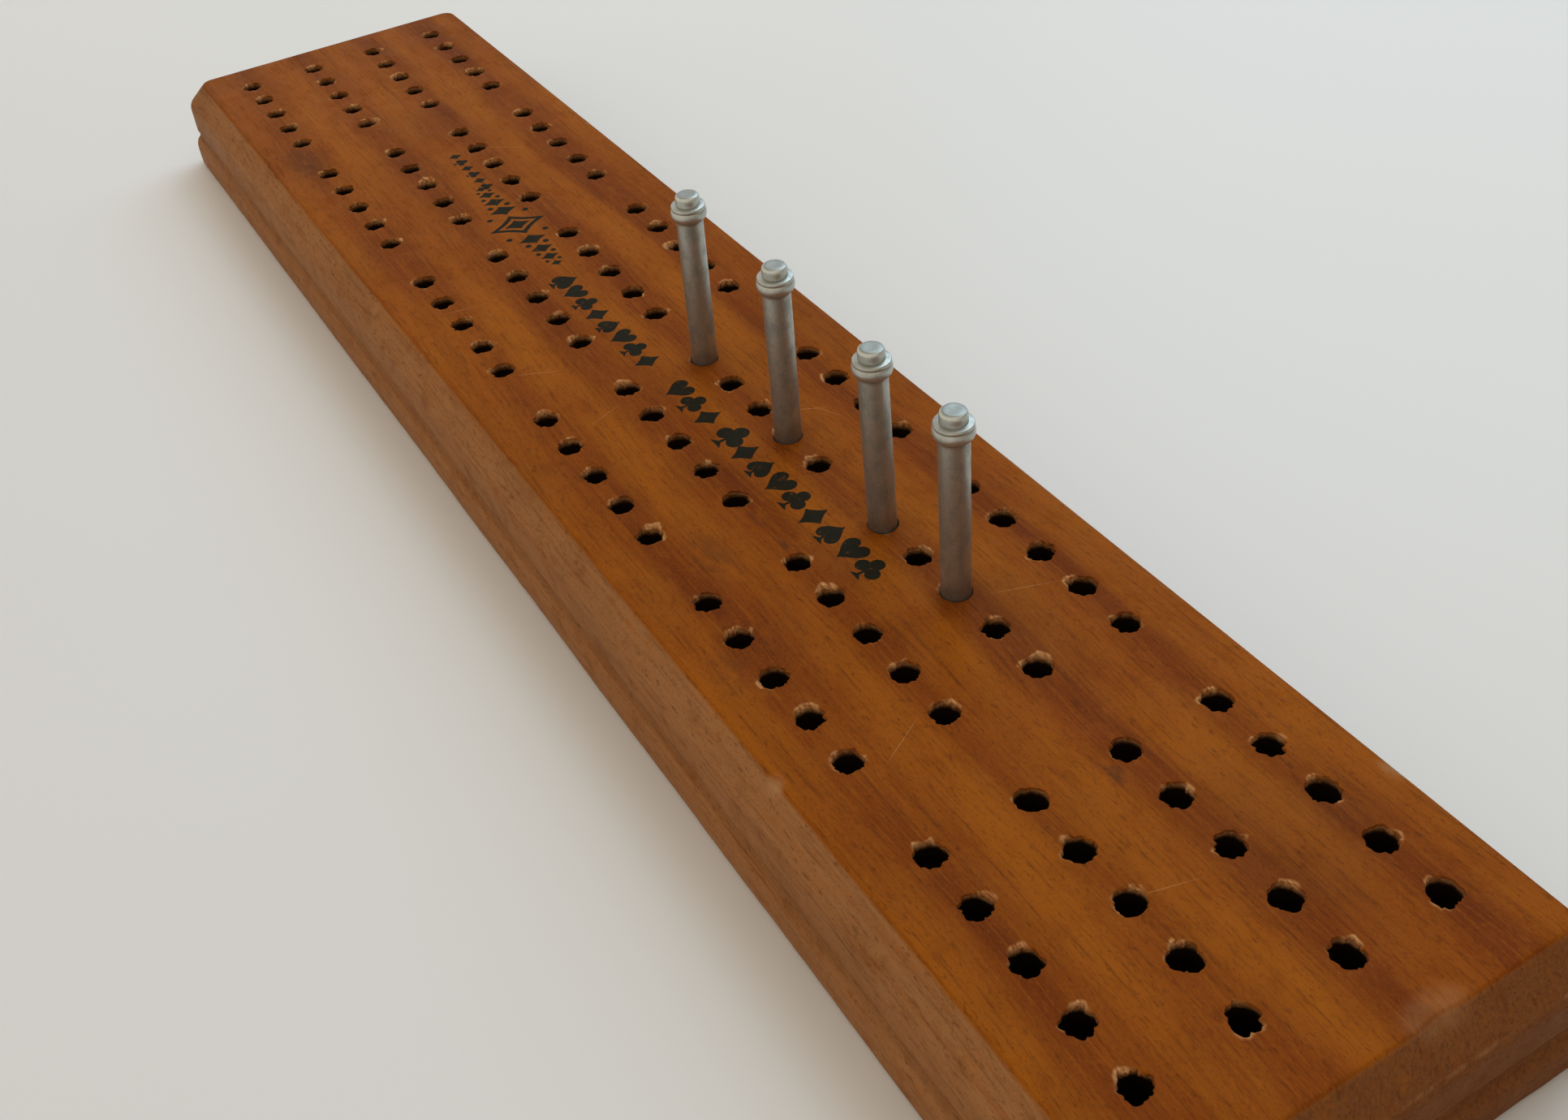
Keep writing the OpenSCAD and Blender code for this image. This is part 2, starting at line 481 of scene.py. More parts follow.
# Middle of the diamond border
ORNAMENT_X = -37.8
ORNAMENT_Y = 0.5
# The printed line passes through this point and climbs across the board as it runs along it
LINE_X = -8
LINE_Y = -0.8
LINE_SLOPE = 0.0163

# Runs of pips on the line: (from x, to x, count, size, size of the first, kinds in turn)
PIP_RUNS = (
    (-21.8, 4.2, 8, 3.3, 3.9, ("spade", "heart", "club", "diamond")),
    (8.4, 18.6, 3, 3.5, 3.5, ("heart", "club", "diamond")),
    (20.0, 50.8, 9, 3.6, 4.3, ("club", "diamond", "spade", "heart")),
)

# Small pips before the border
SMALL_PIP_COUNT = 6
SMALL_PIP_SIZE = 2.0
SMALL_PIP_X = -62.3
SMALL_PIP_Y = 1.4
SMALL_PIP_PITCH = 2.3

# How far the sides of a lozenge curve in, as a share of its size
LOZENGE_CURVE = 0.5
LOZENGE_SIDE_STEPS = 6
HEART_STEPS = 28


def line_y(x):
    """The height across the board that the printed line runs along."""
    return LINE_Y + LINE_SLOPE * (x - LINE_X)


def ellipse(x, y, rx, ry, steps=20):
    turns = [2 * math.pi * i / steps for i in range(steps)]
    return [(x + rx * math.cos(a), y + ry * math.sin(a)) for a in turns]


def lozenge(x, y, half_w, half_h):
    """A diamond whose four sides curve in a little."""
    tips = [(half_w, 0), (0, half_h), (-half_w, 0), (0, -half_h)]
    points = []
    for a, b in zip(tips, tips[1:] + tips[:1]):
        for i in range(LOZENGE_SIDE_STEPS):
            t = i / LOZENGE_SIDE_STEPS
            pull = 1 - LOZENGE_CURVE * t * (1 - t)
            along = [a[axis] + t * (b[axis] - a[axis]) for axis in (0, 1)]
            points.append((x + pull * along[0], y + pull * along[1]))
    return points


def heart(x, y, size, flip=1):
    """The usual heart curve, which is 33 wide and 30 tall before it is scaled."""
    points = []
    for i in range(HEART_STEPS):
        a = 2 * math.pi * (i + 0.5) / HEART_STEPS
        across = 16 * math.sin(a) ** 3
        up = 13 * math.cos(a) - 5 * math.cos(2 * a) - 2 * math.cos(3 * a) - math.cos(4 * a)
        points.append((x + size * across / 33, y + flip * size * (up + 2.5) / 30))
    return points


def stem(x, y, size):
    """The foot of a spade or a club."""
    low, high = y - 0.5 * size, y + 0.05 * size
    return [
        (x - 0.24 * size, low),
        (x + 0.24 * size, low),
        (x + 0.05 * size, low + 0.14 * size),
        (x + 0.04 * size, high),
        (x - 0.04 * size, high),
        (x - 0.05 * size, low + 0.14 * size),
    ]


def pip(kind, x, y, size):
    """One playing-card pip, as a list of shapes."""
    if kind == "diamond":
        return [[lozenge(x, y, 0.42 * size, 0.5 * size)]]
    if kind == "heart":
        return [[heart(x, y, size)]]
    if kind == "spade":
        return [[heart(x, y + 0.06 * size, 0.88 * size, flip=-1)], [stem(x, y, size)]]
    leaf = 0.23 * size
    leaves = [(0, 0.26), (-0.24, -0.06), (0.24, -0.06)]
    circles = [[ellipse(x + dx * size, y + dy * size, leaf, leaf)] for dx, dy in leaves]
    return circles + [[stem(x, y, size)]]


def pip_run(x_from, x_to, count, size, first_size, kinds):
    """A row of pips standing on the printed line."""
    shapes = []
    for i in range(count):
        x = x_from + (x_to - x_from) * (i + 0.5) / count
        tall = first_size if i == 0 else size
        shapes += pip(kinds[i % len(kinds)], x, line_y(x) + (tall - size) / 2, tall)
    return shapes


# The border pattern beside the middle lozenge: (distance from the middle, half width, half height)
BORDER_LOZENGES = ((4.9, 1.35, 2.0), (7.9, 1.15, 1.6), (10.5, 0.95, 1.25), (12.6, 0.65, 0.85))
# Dots above and below them: (distance from the middle, distance from the line, radius)
BORDER_DOTS = ((3.3, 2.6, 0.42), (6.4, 1.25, 0.42), (9.25, 1.05, 0.36), (11.6, 0.85, 0.30))


def diamond_border():
    """A hollow lozenge with a run of smaller lozenges and dots on both sides of it."""
    x, y = ORNAMENT_X, ORNAMENT_Y
    shapes = [
        [lozenge(x, y, 2.9, 4.0), lozenge(x, y, 2.0, 2.8)],
        [lozenge(x, y, 1.3, 1.9)],
    ]
    for side in (-1, 1):
        for off, half_w, half_h in BORDER_LOZENGES:
            shapes.append([lozenge(x + side * off, y, half_w, half_h)])
        for off, up, r in BORDER_DOTS:
            shapes += [[ellipse(x + side * off, y + level, r, r, 12)] for level in (-up, up)]
    return shapes


def ornament():
    """All that is printed along the middle of the board: card pips and a diamond border."""
    shapes = []
    for i in range(SMALL_PIP_COUNT):
        kind = ("diamond", "club")[i % 2]
        shapes += pip(kind, SMALL_PIP_X + SMALL_PIP_PITCH * i, SMALL_PIP_Y, SMALL_PIP_SIZE)
    shapes += diamond_border()
    for run in PIP_RUNS:
        shapes += pip_run(*run)
    return shapes


# ---------------------------------------------------------------- pegs and cover

# A peg's outline down from the middle of its top: (radius, distance below the top)
PEG_HEAD = (
    (0.55, 0.03),
    (0.85, 0.00),
    (1.00, 0.02),
    (1.14, 0.08),
    (1.25, 0.18),
    (1.32, 0.32),
    (1.34, 0.50),
    (1.34, 0.80),
    (1.33, 1.08),
    (1.36, 1.18),
    (1.70, 1.21),
    (1.84, 1.27),
    (1.90, 1.38),
    (1.90, 1.50),
    (1.88, 1.60),
    (1.85, 1.65),
    (1.85, 1.69),
    (1.89, 1.74),
    (1.96, 1.88),
    (2.00, 2.12),
    (1.98, 2.40),
    (1.88, 2.68),
    (1.70, 2.90),
    (1.53, 3.02),
    (1.50, 3.10),
)
# The last two rings of the tip, given in the same way, and the height where the shaft starts to round
PEG_TIP = ((1.40, PEG_L - 0.12), (1.15, PEG_L))
PEG_TIP_EASE = 0.35
# The plain shaft starts this far below the top
SHAFT_BELOW = 3.4
SHAFT_STEPS = 24


def make_peg(index, place, lean, material):
    """A turned peg standing in its hole. lean is how far its top is off to the side, along X and Y."""
    x, y = hole_x(*place), row_y(PEG_ROW)
    peg = Shell()
    shaft = [(PEG_R, PEG_L - z) for z in np.linspace(PEG_L - SHAFT_BELOW, PEG_TIP_EASE, SHAFT_STEPS)]
    centre = peg.add([(x, y, PEG_TIP_Z + PEG_L - PEG_HEAD[0][1])])[0]
    turns = 2 * np.pi * np.arange(PEG_STEPS) / PEG_STEPS
    loops = []
    for radius, below in (*PEG_HEAD, *shaft, *PEG_TIP):
        z = np.full(PEG_STEPS, PEG_TIP_Z + PEG_L - below)
        at = np.c_[x + radius * np.cos(turns), y + radius * np.sin(turns), z]
        loops.append(peg.add(at.tolist()))
    peg.skin([loop[::-1] for loop in loops])
    peg.fan(loops[0], centre)
    foot = peg.add([(x, y, PEG_TIP_Z)])[0]
    peg.fan(loops[-1][::-1], foot)
    # A peg leans about a point halfway down its hole
    pivot = (BOARD_T + HOLE_FLOOR) / 2
    share = [(z - pivot) / PEG_L for _, _, z in peg.points]
    leaning = zip(peg.points, share)
    peg.points = [(px + lean[0] * k, py + lean[1] * k, pz) for (px, py, pz), k in leaning]
    return peg.build(f"peg_{index}_turned", material)


def rib_depth(x, y):
    """How far the grip ribs are pressed down at a point of the cover."""
    end = min(1.0, max(0.0, (RIB_HALF_L - abs(y)) / RIB_FADE))
    return sum(RIB_H * math.exp(-(((x - at) / RIB_HALF_W) ** 2)) for at in RIB_X) * end


# Columns of points along the cover: before its ribs, across them and after them
COVER_COLUMNS = (28, 90, 8)
COVER_ROWS = 53
RIB_MARGIN = 1.5
COLUMN_GAP = 0.1


def grid_rim(rows):
    """The closed loop round a grid of points, which is given as its rows."""
    return [r[0] for r in rows] + rows[-1][1:] + [r[-1] for r in rows[-2::-1]] + rows[0][-2:0:-1]


def make_cover(material):
    """A flat sheet with pressed ribs. Its columns of points are close together only round the ribs."""
    x0, x1, width = COVER
    ribs_from, ribs_to = RIB_X[-1] - RIB_MARGIN, RIB_X[0] + RIB_MARGIN
    before, across, after = COVER_COLUMNS
    xs = [
        *np.linspace(x0, ribs_from - COLUMN_GAP, before),
        *np.linspace(ribs_from, ribs_to, across),
        *np.linspace(ribs_to + COLUMN_GAP, x1, after),
    ]
    ys = np.linspace(-width / 2, width / 2, COVER_ROWS)
    cover = Shell()
    sheets = []
    for level in (COVER_BOTTOM, COVER_TOP):
        sheets.append([cover.add([(x, y, level - rib_depth(x, y)) for y in ys]) for x in xs])
    for rows, flip in zip(sheets, (False, True)):
        for a, b in zip(rows, rows[1:]):
            quads = zip(a, a[1:], b[1:], b)
            cover.faces += [q[::-1] if flip else q for q in quads]
    cover.bridge(*(grid_rim(rows) for rows in sheets))
    return cover.build("store_cover_plate", material, sharp=50)


# ---------------------------------------------------------------- materials


class Shader:
    """The nodes of one material, added by short calls."""

    def __init__(self, name):
        self.material = bpy.data.materials.new(name)
        self.material.use_nodes = True
        self.tree = self.material.node_tree
        self.tree.nodes.clear()
        self.surface = self.node("ShaderNodeBsdfPrincipled")
        self.output = self.node("ShaderNodeOutputMaterial")
        self.link(self.surface.outputs["BSDF"], self.output.inputs["Surface"])

    def node(self, kind, **settings):
        made = self.tree.nodes.new(kind)
        for name, value in settings.items():
            setattr(made, name, value)
        return made

    def link(self, source, target):
        self.tree.links.new(source, target)

    def feed(self, socket, value):
        """Joins an output to a socket, or sets the socket to a plain value."""
        if isinstance(value, bpy.types.NodeSocket):
            self.link(value, socket)
        else:
            socket.default_value = value

    def set(self, **values):
        for name, value in values.items():
            self.feed(self.surface.inputs[name.replace("_", " ")], value)

    def place(self):
        """Position on the part, in millimetres."""
        where = self.node("ShaderNodeTexCoord").outputs["Object"]
        return self.scaled(where, (1 / MM,) * 3)

    def scaled(self, vector, by):
        made = self.node("ShaderNodeVectorMath", operation="MULTIPLY")
        self.feed(made.inputs[0], vector)
        made.inputs[1].default_value = by
        return made.outputs[0]

    def shifted(self, vector, by):
        made = self.node("ShaderNodeVectorMath", operation="ADD")
        self.feed(made.inputs[0], vector)
        self.feed(made.inputs[1], by)
        return made.outputs[0]

    def split(self, vector):
        made = self.node("ShaderNodeSeparateXYZ")
        self.feed(made.inputs[0], vector)
        return made.outputs

    def joined(self, x, y, z):
        made = self.node("ShaderNodeCombineXYZ")
        for socket, value in zip(made.inputs, (x, y, z)):
            self.feed(socket, value)
        return made.outputs[0]

    def math(self, operation, a, b=0.0, clamp=False):
        made = self.node("ShaderNodeMath", operation=operation, use_clamp=clamp)
        self.feed(made.inputs[0], a)
        self.feed(made.inputs[1], b)
        return made.outputs[0]

    def plus(self, a, b, clamp=False):
        return self.math("ADD", a, b, clamp)

    def minus(self, a, b):
        return self.math("SUBTRACT", a, b)

    def times(self, a, b, clamp=False):
        return self.math("MULTIPLY", a, b, clamp)

    def noise(self, vector, scale, detail=2.0, roughness=0.5):
        """Noise with its own scale, per millimetre, along each axis."""
        made = self.node("ShaderNodeTexNoise")
        self.feed(made.inputs["Vector"], self.scaled(vector, scale))
        made.inputs["Scale"].default_value = 1.0
        made.inputs["Detail"].default_value = detail
        made.inputs["Roughness"].default_value = roughness
        return made.outputs["Fac"]

    def range(self, value, low, high, to_low=0.0, to_high=1.0):
        """Maps low..high to to_low..to_high, smoothly and clamped."""
        made = self.node("ShaderNodeMapRange", interpolation_type="SMOOTHSTEP")
        numbers = (value, low, high, to_low, to_high)
        for socket, number in zip(made.inputs, numbers):
            self.feed(socket, number)
        return made.outputs[0]

    def mix(self, share, a, b):
        """Goes from colour a to colour b as the share goes from 0 to 1."""
        made = self.node("ShaderNodeMix", data_type="RGBA", clamp_factor=True)
        self.feed(made.inputs["Factor"], share)
        for name, value in (("A", a), ("B", b)):
            socket = [s for s in made.inputs if s.name == name and s.type == "RGBA"][0]
            self.feed(socket, value if isinstance(value, bpy.types.NodeSocket) else (*value, 1.0))
        return [s for s in made.outputs if s.type == "RGBA"][0]

    def tint(self, colour, value, low, high, share, towards):
        """Mixes in up to a share of another colour as the value goes from low to high."""
        return self.mix(self.range(value, low, high, 0.0, share), colour, towards)

    def line(self, value, at, half_width):
        """1 where the value is at a level, falling to 0 on both sides of it."""
        off = self.math("ABSOLUTE", self.minus(value, at))
        return self.range(off, half_width, 0.0)

    def attribute(self, name):
        return self.node("ShaderNodeAttribute", attribute_name=name).outputs["Fac"]

    def bump(self, height, distance, strength, normal=None):
        """Relief on top of another normal, if there is one. distance is its height in millimetres."""
        made = self.node("ShaderNodeBump")
        made.inputs["Strength"].default_value = strength
        made.inputs["Distance"].default_value = MM * distance
        self.feed(made.inputs["Height"], height)
        if normal is not None:
            self.feed(made.inputs["Normal"], normal)
        return made.outputs["Normal"]


WOOD_LIGHT = (0.305, 0.088, 0.006)
WOOD_MID = (0.222, 0.053, 0.005)
WOOD_RED = (0.128, 0.026, 0.004)
WOOD_DARK = (0.060, 0.015, 0.004)
WOOD_BARE = (0.52, 0.27, 0.11)
WOOD_EDGE = (0.325, 0.150, 0.058)
WOOD_END = (0.120, 0.034, 0.009)
# Rubbed finish on the worn patches, and the painted highlight along the arrises
WOOD_RUBBED_AND_HIGHLIGHT = (0.42, 0.22, 0.10)
# Painted shade inside the holes
HOLE_SHADE = (0.014, 0.007, 0.0035)
# Dark tone for the patina and the dark patches, and for painted shade in the grooves of the pegs' heads
GRIME_AND_SHADE = (0.045, 0.024, 0.012)
INK = (0.007, 0.011, 0.007)

# Specular level of the old finish, far below the shader's usual 0.5
WOOD_SHINE = 0.015
# Half width of the painted highlight along an arris
ARRIS_HALF_W = 0.30

# Tints of the fine marks in the wood: (level where it starts, level where it is full, share, colour)
FIBRE_TINTS = ((0.50, 0.74, 0.42, WOOD_DARK), (0.50, 0.26, 0.40, WOOD_LIGHT))
FLECK_TINTS = ((0.58, 0.72, 0.36, WOOD_DARK),)
PORE_TINTS = ((0.56, 0.70, 0.38, WOOD_DARK), (0.44, 0.30, 0.30, WOOD_LIGHT))
MOTTLE_TINTS = ((0.50, 0.74, 0.30, WOOD_RED), (0.46, 0.26, 0.26, WOOD_LIGHT))
PATINA_TINTS = ((0.54, 0.72, 0.16, GRIME_AND_SHADE),)

# Fine marks, each made by a noise: (follows the grain, scale, detail, roughness, tints)
FINE_LAYERS = {
    "fibre": (True, (0.14, 3.2, 3.2), 4, 0.60, FIBRE_TINTS),
    "fleck": (True, (0.75, 2.6, 2.6), 2, 0.50, FLECK_TINTS),
    "pores": (True, (2.4, 6.5, 6.5), 2, 0.60, PORE_TINTS),
    "mottle": (False, (0.28, 0.40, 0.40), 4, 0.62, MOTTLE_TINTS),
    "patina": (False, (0.035, 0.06, 0.06), 3, 0.50, PATINA_TINTS),
}

# Dark marks on the top face: (x, y, radius along x, radius along y, share)
DARK_PATCHES = (
    (-75.0, -17.0, 5.0, 2.4, 0.40),
    (38.6, -11.5, 4.0, 1.6, 0.35),
    (35.6, -5.0, 1.3, 0.35, 0.60),
    (40.8, -4.8, 1.0, 0.35, 0.60),
    (54.0, -18.5, 2.6, 1.6, 0.35),
    (83.6, 2.5, 0.9, 0.8, 0.65),
    (47.0, -1.5, 7.0, 1.6, 0.16),
)

# Places worn pale along the edges of the top face: (x, y, radius along x, radius along y, share)
WORN_PATCHES = (
    (114.4, 6.6, 1.5, 2.6, 0.34),
    (67.9, -21.7, 0.9, 0.7, 0.50),
    (-31.0, -22.4, 0.7, 0.6, 0.40),
    (113.9, -19.0, 1.0, 1.6, 0.20),
    (96.0, 21.2, 1.2, 0.6, 0.35),
)

# Pale scratches on the top face: (x, y, direction in degrees, half length, half width, share)
SCRATCHES = (
    (-3.0, -12.0, 64, 2.6, 0.06, 0.35),
    (-22.0, -14.0, 80, 1.8, 0.05, 0.35),
    (9.5, -9.5, 110, 2.2, 0.05, 0.30),
    (22.0, 9.0, 60, 2.4, 0.06, 0.40),
    (24.0, 11.0, 25, 1.6, 0.05, 0.35),
    (60.0, 10.5, 70, 3.0, 0.06, 0.25),
    (-60.0, 9.0, 50, 3.0, 0.06, 0.30),
    (70.0, -10.0, 120, 2.6, 0.06, 0.25),
    (95.0, -2.0, 75, 2.8, 0.06, 0.22),
    (-90.0, 3.0, 70, 2.4, 0.06, 0.28),
)

# Scale of a mark's depth, per millimetre, which keeps it near the top face
MARK_FADE = 0.6


def spot(shader, place, x, y, rx, ry, soft, turn=0.0):
    """1 inside an ellipse on the top face, falling to 0 outside it."""
    centred = shader.shifted(place, (-x, -y, -BOARD_T))
    turned = shader.node("ShaderNodeVectorRotate", rotation_type="Z_AXIS")
    shader.feed(turned.inputs["Vector"], centred)
    turned.inputs["Angle"].default_value = -math.radians(turn)
    sized = shader.scaled(turned.outputs[0], (1 / rx, 1 / ry, MARK_FADE))
    length = shader.node("ShaderNodeVectorMath", operation="LENGTH")
    shader.feed(length.inputs[0], sized)
    return shader.range(length.outputs["Value"], 1 + soft, 1 - soft)


def bent_grain(s, place):
    """Position in the wood, bent so that noise drawn out along it follows the grain."""
    x, y, z = s.split(place)
    drift = s.noise(place, (0.012, 0.03, 0.03), detail=1)
    bend = s.times(s.minus(drift, 0.5), 9.0)
    return s.joined(x, s.plus(y, bend), s.plus(z, s.times(bend, 0.4)))


def wood_bands(s, grain, y):
    """Broad light and red bands, which run along the rows of holes."""
    rows = s.math("COSINE", s.times(s.plus(y, ROW_PITCH / 2), 2 * math.pi / ROW_PITCH))
    row_patch = s.noise(grain, (0.03, 0.16, 0.16), detail=2)
    bands = s.noise(grain, (0.014, 0.34, 0.34), detail=5, roughness=0.62)
    row_tone = s.plus(s.times(rows, 0.34), s.times(s.minus(row_patch, 0.5), 1.5))
    tone = s.plus(row_tone, s.times(s.minus(bands, 0.5), 1.1))
    colour = s.mix(s.range(tone, -0.55, 0.65), WOOD_LIGHT, WOOD_RED)
    middle = s.noise(grain, (0.05, 0.22, 0.22), detail=2)
    return s.mix(s.range(middle, 0.35, 0.75, 0.15, 0.7), colour, WOOD_MID)


def moulding_tones(s, colour, place, side):
    """The sides, the darker end grain, painted shade in the groove and a painted highlight along the
    arrises.
    """
    x, y, z = s.split(place)
    streak = s.noise(place, (0.05, 1.6, 1.6), detail=5, roughness=0.65)
    side_colour = s.mix(s.range(streak, 0.40, 0.80, 0.0, 0.45), WOOD_EDGE, WOOD_MID)
    colour = s.mix(s.times(side, 0.95), colour, side_colour)
    from_end = s.minus(BOARD_L / 2, s.math("ABSOLUTE", x))
    from_side = s.minus(BOARD_W / 2, s.math("ABSOLUTE", y))
    end = s.range(s.minus(from_side, from_end), -0.5, 0.1)
    colour = s.mix(s.times(s.times(end, side), 0.70), colour, WOOD_END)
    # Painted shade: the groove between the band and the lip is darkened, as it would be in shadow.
    groove = s.times(s.range(z, *GROOVE_FOOT_FADE), s.range(z, *GROOVE_HEAD_FADE))
    colour = s.mix(s.times(groove, 0.20), colour, WOOD_DARK)
    # Painted highlight: pale lines along the arris at the band's foot and the one just above the bevel's
    # foot, broken up by noise.
    highlight_break = s.noise(place, (0.12, 0.5, 0.5), detail=4, roughness=0.6)
    arrises = s.plus(s.line(z, BAND_FOOT, ARRIS_HALF_W), s.line(z, BEVEL_FOOT + 0.2, ARRIS_HALF_W))
    arrises = s.times(arrises, s.range(highlight_break, 0.42, 0.66, 0.05, 0.36), clamp=True)
    return s.mix(arrises, colour, WOOD_RUBBED_AND_HIGHLIGHT)


def fine_layers(s, colour, place, grain):
    """Adds each fine layer to the colour. Returns it, and the layers' noises by name."""
    noises = {}
    for name, (follows_grain, scale, detail, roughness, tints) in FINE_LAYERS.items():
        noises[name] = s.noise(grain if follows_grain else place, scale, detail, roughness)
        for low, high, share, towards in tints:
            colour = s.tint(colour, noises[name], low, high, share, towards)
    return colour, noises


def top_marks(s, colour, place, mottle):
    """Dark patches and worn patches on the top face, broken up by the wood's own mottle."""
    for x, y, rx, ry, share in DARK_PATCHES:
        mark = s.times(spot(s, place, x, y, rx, ry, 0.7), share)
        colour = s.mix(s.times(mark, s.range(mottle, 0.30, 0.58)), colour, GRIME_AND_SHADE)
    for x, y, rx, ry, share in WORN_PATCHES:
        mark = s.times(spot(s, place, x, y, rx, ry, 0.6), share)
        colour = s.mix(s.times(mark, s.range(mottle, 0.35, 0.60, 0.4, 1.0)), colour, WOOD_RUBBED_AND_HIGHLIGHT)
    return colour


def scratched(s, place):
    """How much of the finish the scratches take away."""
    total = 0.0
    for x, y, turn, half_l, half_w, share in SCRATCHES:
        line = s.times(spot(s, place, x, y, half_l, half_w, 0.5, turn), share)
        total = s.math("MAXIMUM", line, total)
    return total


def dust(s, place):
    """Small pale specks, one in some of the cells about 4.5 mm across."""
    cells = s.node("ShaderNodeTexVoronoi", feature="F1")
    s.feed(cells.inputs["Vector"], s.scaled(place, (0.22, 0.22, 0.22)))
    chance = s.math("GREATER_THAN", s.split(cells.outputs["Color"])[0], 0.72)
    return s.times(s.range(cells.outputs["Distance"], 0.045, 0.02), chance)


def bare_wood_and_hole_shade(s, colour, bare, fibre, z):
    """Unfinished wood at the rims and in the store, and painted shade deep inside the holes."""
    bare_tone = s.mix(s.range(fibre, 0.35, 0.7), WOOD_BARE, WOOD_MID)
    colour = s.mix(s.range(bare, 0.05, 0.95), colour, bare_tone)
    # Painted shade: the walls and floor of each hole are darkened from about 1 mm below the top, but not
    # the store below them.
    deep = s.times(s.range(z, BOARD_T - 0.12, BOARD_T - 1.1), s.range(bare, 0.3, 0.6))
    above_store = s.range(z, HOLE_FLOOR - 0.8, HOLE_FLOOR - 0.2)
    return s.mix(s.times(deep, above_store), colour, HOLE_SHADE)


def printed_ink(s, colour, place):
    """The dark printed shapes, a little worn."""
    worn_ink = s.noise(place, (1.6, 1.6, 1.6), detail=4, roughness=0.7)
    ink = s.times(s.attribute("ink"), s.range(worn_ink, 0.74, 0.58, 0.55, 0.97))
    return s.mix(ink, colour, INK)


def wood_material():
    """Fine-grained brown hardwood under an old satin finish, worn bare at the rims of the holes."""
    s = Shader("cherry_wood")
    place = s.place()
    _, y, z = s.split(place)
    grain = bent_grain(s, place)
    side = s.range(z, BOARD_T - 0.08, BOARD_T - 0.5)
    bare = s.attribute("bare")
    scratches = scratched(s, place)

    colour = wood_bands(s, grain, y)
    colour = moulding_tones(s, colour, place, side)
    colour, noises = fine_layers(s, colour, place, grain)
    colour = top_marks(s, colour, place, noises["mottle"])
    colour = s.mix(scratches, colour, WOOD_BARE)
    colour = s.mix(s.times(dust(s, place), 0.35), colour, WOOD_BARE)
    colour = bare_wood_and_hole_shade(s, colour, bare, noises["fibre"], z)
    colour = printed_ink(s, colour, place)

    rough = s.range(noises["mottle"], 0.3, 0.7, 0.36, 0.48)
    rough = s.plus(rough, s.times(bare, 0.30), clamp=True)
    rough = s.plus(rough, s.times(side, 0.05), clamp=True)
    relief = s.plus(s.times(noises["fibre"], 0.6), s.times(noises["fleck"], 0.4))
    relief = s.minus(relief, s.times(scratches, 0.8))
    normal = s.bump(relief, 0.06, 0.5)
    normal = s.bump(s.noise(place, (0.12, 0.2, 0.2), detail=2), 0.6, 0.25, normal)
    s.set(Base_Color=colour, Roughness=rough, Normal=normal)
    s.surface.inputs["Specular IOR Level"].default_value = WOOD_SHINE
    return s.material


METAL = (0.44, 0.46, 0.42)
METAL_DULL = (0.25, 0.258, 0.228)
# Painted dark reflection on the pegs' flat tops
METAL_DARK = (0.17, 0.175, 0.16)
# Also the painted highlights on the pegs' heads
METAL_BRIGHT = (0.70, 0.74, 0.69)
RUST = (0.16, 0.075, 0.03)
PEG_METALLIC = 0.85
# Painted shade in the grooves round a peg's head: (distance below its top, share)
PEG_GROOVE_SHADES = ((1.20, 0.40), (1.67, 0.14), (3.04, 0.40))
GROOVE_HALF_W = 0.16
# The table's two tones, which drift over large patches
TABLE_WARM = (0.66, 0.655, 0.635)
TABLE_COOL = (0.70, 0.695, 0.68)


def peg_head_light_and_shade(s, colour, z):
    """Painted light on the head: it is made brighter than the shaft, its flat top carries a painted dark
    reflection, its edge a painted highlight and its grooves painted shade.
    """
    top = PEG_TIP_Z + PEG_L
    # Painted highlight: the head is made brighter than the shaft.
    colour = s.tint(colour, z, top - SHAFT_BELOW, top - 2.8, 0.35, METAL_BRIGHT)
    # Painted reflection: the flat top is darkened, as if it mirrored something dark.
    colour = s.tint(colour, z, top - 0.09, top - 0.04, 0.80, METAL_DARK)
    # Painted highlight: a bright ring just below the top's edge.
    colour = s.mix(s.times(s.line(z, top - 0.24, 0.16), 0.7), colour, METAL_BRIGHT)
    for below, share in PEG_GROOVE_SHADES:
        # Painted shade in each groove
        groove = s.line(z, top - below, GROOVE_HALF_W)
        colour = s.mix(s.times(groove, share), colour, GRIME_AND_SHADE)
    return colour


def peg_material():
    """Turned grey metal, dulled by handling."""
    s = Shader("turned_metal")
    place = s.place()
    z = s.split(place)[2]
    cloud = s.noise(place, (0.7, 0.7, 0.45), detail=3, roughness=0.6)
    grains = s.noise(place, (5.0, 5.0, 4.0), detail=3, roughness=0.7)
    rings = s.noise(place, (0.4, 0.4, 9.0), detail=2)
    colour = s.mix(s.range(cloud, 0.35, 0.70, 0.0, 0.75), METAL, METAL_DULL)
    colour = s.tint(colour, grains, 0.56, 0.70, 0.45, METAL_DULL)
    colour = s.tint(colour, grains, 0.42, 0.30, 0.45, METAL_BRIGHT)
    colour = peg_head_light_and_shade(s, colour, z)
    # Darker over the last 3.5 mm above the board.
    colour = s.tint(colour, z, BOARD_T + 3.5, BOARD_T, 0.35, GRIME_AND_SHADE)
    rough = s.plus(s.range(cloud, 0.3, 0.7, 0.30, 0.42), s.times(grains, 0.08))
    relief = s.plus(s.times(rings, 0.5), s.times(grains, 0.4))
    s.set(Base_Color=colour, Roughness=rough, Metallic=PEG_METALLIC, Normal=s.bump(relief, 0.04, 0.4))
    return s.material


